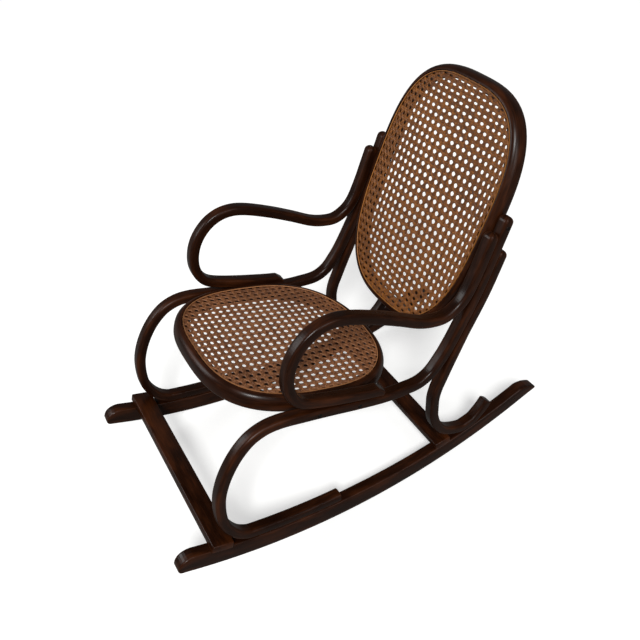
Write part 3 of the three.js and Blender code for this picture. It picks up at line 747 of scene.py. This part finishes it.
# %% One strand
GRAIN_SHIFT = 0.37
SEARCH_STEPS, SHORTEST = 20, 0.8
BESIDE_PAIR, STEP_ROOM = 0.37, 0.02
SLANT_STEPS, SLANT_ROOM = 12, 0.3


def strand(bm, layers, path, heights, width, tone):
    count = len(path) - 1
    made = bmesh.ops.create_grid(bm, x_segments=count, y_segments=2, size=0.5)
    headings, lengths = directions_of(path), lengths_of(path)
    grain, shade = layers
    for v in made["verts"]:
        i = round((v.co.x + 0.5) * count)
        side = round((v.co.y + 0.5) * 2) - 1
        p = path[i] + Vector((-headings[i].y, headings[i].x, 0)) * (side * width / 2)
        v.co = (p.x, p.y, heights[i] + (0 if side else CANE_CROWN))
        v[grain] = (side * width / 2 * MM, tone * GRAIN_SHIFT, lengths[i] * MM)
        v[shade] = tone


def ends_inside(test, place_at, limit):
    tries = [n / SEARCH_STEPS for n in range(-SEARCH_STEPS * limit, SEARCH_STEPS * limit)]
    found = [t for t in tries if test(place_at(t))]
    return (found[0], found[-1]) if found and found[-1] - found[0] > SHORTEST else None


def pair_steps(lines, low, high, pair):
    steps = []
    for node in range(math.floor(low), math.ceil(high) + 1):
        near = pair / 2 / (lines(node + 0.5) - lines(node - 0.5))
        steps += [node + share for share in (-BESIDE_PAIR, -near, 0, near, BESIDE_PAIR)]
    return [low, *(t for t in steps if low + STEP_ROOM < t < high - STEP_ROOM), high]


def slant_steps(low, high):
    first = math.ceil(low * SLANT_STEPS + SLANT_ROOM)
    last = math.floor(high * SLANT_STEPS - SLANT_ROOM)
    return [low, *(n / SLANT_STEPS for n in range(first, last + 1)), high]


# %% Whole panel
WEAVE_SEED = 7
TONES = (0.12, 0.34)
FADE = 0.5


def weave(name, ring, across, along, widths, place, material, slot):
    chance = random.Random(WEAVE_SEED)
    test = inside_outline(ring, ring["rim"] + CANE_INSET)
    x_at, y_at = lines_of(*across), lines_of(*along)
    width, slant_width = widths
    pair = width + PAIR_GAP
    limit = int(math.pi / 2 * min(across[1] / across[2], along[1] / along[2])) - 1
    for family in ("upright", "crosswise", "rising", "falling"):
        bm = bmesh.new()
        layers = bm.verts.layers.float_vector.new("grain"), bm.verts.layers.float.new("tone")
        for k in range(-2 * limit, 2 * limit + 1):
            for part in (-1, 1) if family in ("upright", "crosswise") else (0,):
                if part and abs(k) > limit:
                    continue
                offset = part * pair / 2
                place_at = {
                    "upright": lambda t: Vector((x_at(k) + offset, y_at(t), 0)),
                    "crosswise": lambda t: Vector((x_at(t), y_at(k) + offset, 0)),
                    "rising": lambda t: Vector((x_at(t), y_at(t + k + 0.5), 0)),
                    "falling": lambda t: Vector((x_at(t), y_at(k + 0.5 - t), 0)),
                }[family]
                span = ends_inside(test, place_at, limit)
                if not span:
                    continue
                low, high = span
                if part:
                    lines = y_at if family == "upright" else x_at
                    steps = pair_steps(lines, low, high, pair)
                    over = part if family == "upright" else -part
                    offsets = [(lines(t) - lines(round(t))) / pair for t in steps]
                    heights = [over * WAVE * math.sin(math.pi * min(1, max(-1, d))) for d in offsets]
                else:
                    steps = slant_steps(low, high)
                    turn = 1 if family == "rising" else -1
                    heights = [turn * SLANT_WAVE * math.cos(math.tau * t) for t in steps]
                fades = [min(1, (t - low) / FADE, (high - t) / FADE) for t in steps]
                heights = [h * f for h, f in zip(heights, fades)]
                path = [place_at(t) for t in steps]
                wide = width if part else slant_width
                strand(bm, layers, path, heights, wide, chance.uniform(*TONES))
        piece = finished(f"{name}_{family}_strands", bm, place, material, f"{name}_cane", sharp=80)
        solid = piece.modifiers.new("strand thickness", "SOLIDIFY")
        solid.thickness = CANE_THICK * MM
        solid.offset = 0
        print(piece.name, len(piece.data.polygons), "faces")


CANE_DEPTH = 2.6
SEAT_WEAVE = {"across": (0, 220, 13.3, -0.11), "along": (-15, 205, 13.9, 0.48), "widths": (3.2, 2.9)}
BACK_WEAVE = {"across": (0, 165, 14.2, 0.3), "along": (-15, 246, 13.7, 0.24), "widths": (3.1, 2.8)}

cane_drop = Matrix.Translation((0, 0, -CANE_DEPTH))
weave("seat", SEAT, **SEAT_WEAVE, place=to_seat @ cane_drop, material=seat_cane, slot="seat_cane")
weave("back", BACK, **BACK_WEAVE, place=to_back @ cane_drop, material=back_cane, slot="back_cane")

# %% [markdown]
# On such a chair a thin strip of cane covers the holes round the edge of the weave. It is swept round the
# same outline as the ring.

# %% Edge binders
BINDER_WIDTH, BINDER_THICK, BINDER_ROUNDING = 2.8, 1.6, 0.75
BINDER_DROP, BINDER_TONE = 0.75, 0.42


def edge_binder(name, ring, place, start, material, node):
    bm = bmesh.new()
    face = rounded_face(bm, BINDER_WIDTH, BINDER_THICK, BINDER_ROUNDING, segments=3)
    inset = ring["rim"] + GAP + BINDER_WIDTH / 2
    stations, lengths = ring_stations(ring, start)
    shift = Matrix.Translation((-inset, -BINDER_DROP, 0))
    sweep(bm, face, [s @ shift for s in stations], lengths, closed=True)
    tone = bm.verts.layers.float.new("tone")
    for v in bm.verts:
        v[tone] = BINDER_TONE
    return finished(name, bm, place, material, node, sharp=60)


edge_binder(
    "seat_edge_binder", SEAT, to_seat, math.pi / 2, seat_cane, node="seat_binder",
)
edge_binder(
    "back_edge_binder", BACK, to_back, -math.pi / 2, back_cane, node="back_binder",
)
print("pieces", len(made_pieces))

# %% [markdown]
# ## Screws
# The photo shows no bolt heads, so the rings are taken to be held to the side frames by countersunk screws that
# sit almost flush in the outer faces and have gone as dark as the wood. A countersunk head is a turned shape,
# so half of its outline is spun round the screw's own line. Old blued steel is nearly black, with a little
# brown rust in its dull gloss.

# %% Blued steel
blued, tree = new_material("blued_steel_with_old_rust")
place = add_node(tree, "TexCoord").outputs["Object"]
rust = add_node(tree, "TexNoise", Vector=place, Scale=900, Detail=4, Roughness=0.6)
colour = ramp_of(tree, rust.outputs["Fac"], ((0.35, "#080505"), (0.6, "#150d0a"), (0.8, "#2e1a10")))
roughness = add_node(
    tree, "MapRange", Value=rust.outputs["Fac"],
    From_Min=0.3, From_Max=0.7, To_Min=0.4, To_Max=0.6,
)
shader = add_node(tree, "BsdfPrincipled", Base_Color=colour, Metallic=0.7, Roughness=roughness.outputs[0])
add_node(tree, "OutputMaterial", Surface=shader.outputs[0])
print("material", blued.name)

# %% Countersunk screws
BOLT_HEAD_HEIGHT = 2.6
SPIN_STEPS = 24
HEAD_OUTLINE = ((0, 0.35), (1.6, 0.3), (3.2, 0.1), (3.5, -0.3), (1.9, -2.2), (1.9, -18), (0, -18))


def screw(name, node):
    low, high = (Vector(corner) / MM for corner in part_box(node))
    side = 1 if low.x + high.x > 0 else -1
    face = (high.x if side > 0 else low.x) - side * BOLT_HEAD_HEIGHT
    bm = bmesh.new()
    half = [bm.verts.new((side * x, radius, 0)) for radius, x in HEAD_OUTLINE]
    edges = [bm.edges.new(pair) for pair in zip(half, half[1:])]
    bmesh.ops.spin(
        bm, geom=half + edges, axis=(1, 0, 0), cent=(0, 0, 0), angle=math.tau, steps=SPIN_STEPS,
        use_merge=True,
    )
    bmesh.ops.remove_doubles(bm, verts=bm.verts, dist=0.001)
    bmesh.ops.recalc_face_normals(bm, faces=bm.faces)
    middle = Matrix.Translation((face, (low.y + high.y) / 2, (low.z + high.z) / 2))
    place = to_rest.inverted() @ Matrix.Scale(MM, 4) @ middle
    return finished(name, bm, place, blued, node)


for side in ("right", "left"):
    for place in ("back", "front_seat", "rear_seat"):
        screw(f"{side}_{place}_screw", f"{side}_{place}_bolt")
print("screws", len([p for p in made_pieces if "screw" in p.name]))

# %% [markdown]
# ## Floor, light and camera
# The floor is a pale plane. To the camera it is white, and it keeps a soft shadow of the chair.
# A broad sun stands behind the camera, so that its even light leaves the floor white and the shadow falls behind
# the chair. Two soft lamps give the polished wood its long reflections.

# %% Floor
FLOOR_SIZE, FLOOR_GLOW = 6, 0.5

floor_bm = bmesh.new()
bmesh.ops.create_grid(floor_bm, x_segments=1, y_segments=1, size=FLOOR_SIZE)
floor_mesh = bpy.data.meshes.new("studio_floor")
floor_bm.to_mesh(floor_mesh)
floor_bm.free()
floor = bpy.data.objects.new("studio_floor", floor_mesh)
bpy.context.scene.collection.objects.link(floor)
paper, tree = new_material("white_paper_sweep")
seen = add_node(tree, "LightPath").outputs["Is Camera Ray"]
matt = add_node(tree, "BsdfDiffuse", Color=hex_colour("#8c8c8a"))
pale = add_node(tree, "BsdfDiffuse", Color=hex_colour("#dededc"))
glow = add_node(tree, "Emission", Color=(1, 1, 1, 1), Strength=FLOOR_GLOW)
both = add_node(tree, "AddShader", _0=pale.outputs[0], _1=glow.outputs[0])
mixed = add_node(tree, "MixShader", Fac=seen, _1=matt.outputs[0], _2=both.outputs[0])
add_node(tree, "OutputMaterial", Surface=mixed.outputs[0])
floor_mesh.materials.append(paper)
print("floor", floor.name)

# %% Background
world = bpy.data.worlds.new("studio")
bpy.context.scene.world = world
world.use_nodes = True
tree = world.node_tree
tree.nodes.clear()
path = add_node(tree, "LightPath")
direct = add_node(
    tree, "Math", {"operation": "MAXIMUM"},
    _0=path.outputs["Is Camera Ray"], _1=path.outputs["Is Transmission Ray"],
)
white = add_node(tree, "Background", Color=(1, 1, 1, 1), Strength=1)
sky = add_node(tree, "Background", Color=hex_colour("#e8e8ea"), Strength=0.16)
mixed = add_node(tree, "MixShader", Fac=direct.outputs[0], _1=sky.outputs[0], _2=white.outputs[0])
add_node(tree, "OutputWorld", Surface=mixed.outputs[0])


# %% Lamps
def lamp(name, size, power, place, target):
    light = bpy.data.lights.new(name, "AREA")
    light.shape = "RECTANGLE"
    light.size, light.size_y = size
    light.energy = power
    lamp_object = bpy.data.objects.new(name, light)
    bpy.context.scene.collection.objects.link(lamp_object)
    aim = (Vector(target) - Vector(place)).to_track_quat("-Z", "Y")
    lamp_object.matrix_world = Matrix.Translation(place) @ aim.to_matrix().to_4x4()


lamp("front_softbox", size=(0.8, 1.2), power=18, place=(-1.2, -1.7, 1.5), target=(0, 0, 0.3))
lamp("side_window", size=(0.4, 1.0), power=8, place=(2.0, 0.5, 1.3), target=(0, 0, 0.35))

SUN_POWER, SUN_SPREAD = 2.3, 14
SUN_FROM = (0.72, -0.38, 0.85)

sun = bpy.data.lights.new("broad_sun", "SUN")
sun.energy = SUN_POWER
sun.angle = math.radians(SUN_SPREAD)
sun_object = bpy.data.objects.new("broad_sun", sun)
bpy.context.scene.collection.objects.link(sun_object)
sun_object.matrix_world = Vector(SUN_FROM).to_track_quat("Z", "Y").to_matrix().to_4x4()
print("lamps", len(bpy.data.lights))

# %% [markdown]
# The camera stands high at the front right corner, where the photo was taken. Its place and its turn come from
# lines in the photo that are parallel on the chair. They are written in the chair's drawing and follow the
# chair to its rest.

# %% Camera
VANISHING_X, VANISHING_Y, FOCAL = -228.2, -284.8, 740
CAMERA_PLACE = (822.15, -429.98, 1045.82)
PICTURE, SENSOR_WIDTH = 640, 36

middle = PICTURE / 2
level = -Vector(((VANISHING_X - middle) / FOCAL, (VANISHING_Y - middle) / FOCAL, 1)).normalized()
down = Vector((0, -level.z, level.y)).normalized()
down = down if down.y > 0 else -down
rear = (-down).cross(level)
turned = Matrix((level, rear, -down)).transposed()
flip = Matrix(((1, 0, 0), (0, -1, 0), (0, 0, -1)))
to_drawing = (flip @ turned).transposed().to_4x4()
rest = Matrix.Translation(REST_SHIFT) @ Matrix.Rotation(math.radians(REST_TURN), 4, "X")
view = rest @ Matrix.Translation(CAMERA_PLACE) @ to_drawing

camera_data = bpy.data.cameras.new("camera")
camera = bpy.data.objects.new("camera", camera_data)
bpy.context.scene.collection.objects.link(camera)
camera_data.sensor_width = SENSOR_WIDTH
camera_data.lens = SENSOR_WIDTH * FOCAL / PICTURE
camera.matrix_world = Matrix.Translation(view.translation * MM) @ view.to_3x3().to_4x4()
bpy.context.scene.camera = camera
print("camera at", tuple(round(c, 3) for c in camera.location))

# %% [markdown]
# ## Colour management
# The Standard view transform shows colours as they were written.

# %% Finish
bpy.context.scene.view_settings.view_transform = "Standard"
bpy.context.view_layer.update()
